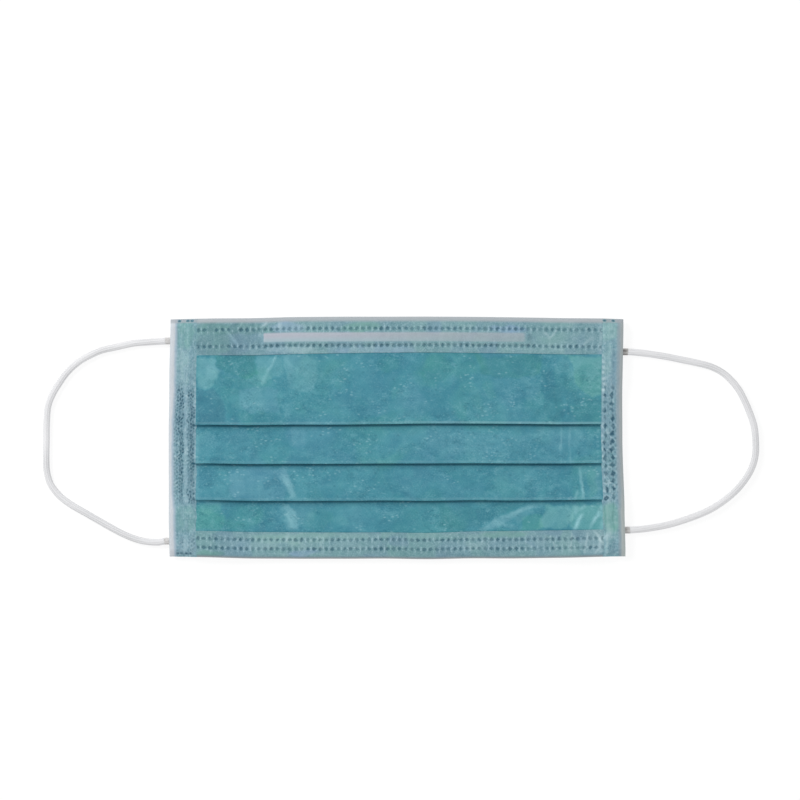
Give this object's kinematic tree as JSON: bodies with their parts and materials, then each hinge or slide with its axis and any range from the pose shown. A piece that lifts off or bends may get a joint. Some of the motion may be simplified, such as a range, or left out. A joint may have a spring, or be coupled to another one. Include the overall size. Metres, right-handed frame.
{
  "type": "disposable pleated face mask",
  "caption": "Flat-folded disposable face mask with downward pleats, a nose wire under its upper hem, bound side edges and round elastic ear loops spread out to both sides.",
  "frame": {"origin": "on the surface that the mask lies on, below the middle of its body", "axes": "+X across the mask to the right as seen from the front, +Y towards the nose edge, +Z out of the front, up from the surface"},
  "size_m": [0.2761, 0.0934, 0.0054],
  "materials": {
    "panel_cloth": "soft spunbonded nonwoven, teal outside, white inside",
    "hem_cloth": "thin nonwoven over teal, spot welded",
    "binding_cloth": "thin nonwoven over teal, bar welded",
    "wire_plastic": "plastic-coated soft wire",
    "fused_elastic": "elastic fused flat",
    "elastic": "knitted white elastic"
  },
  "bodies": {
    "root": {"pleated_panel": "panel_cloth", "nose_hem": "hem_cloth", "chin_hem": "hem_cloth", "nose_wire": "wire_plastic", "side_binding_left": "binding_cloth", "side_binding_right": "binding_cloth", "loop_weld_left_nose": "fused_elastic", "loop_weld_left_chin": "fused_elastic", "loop_weld_right_nose": "fused_elastic", "loop_weld_right_chin": "fused_elastic", "ear_loop_left": "elastic", "ear_loop_right": "elastic"}
  },
  "joints": []
}
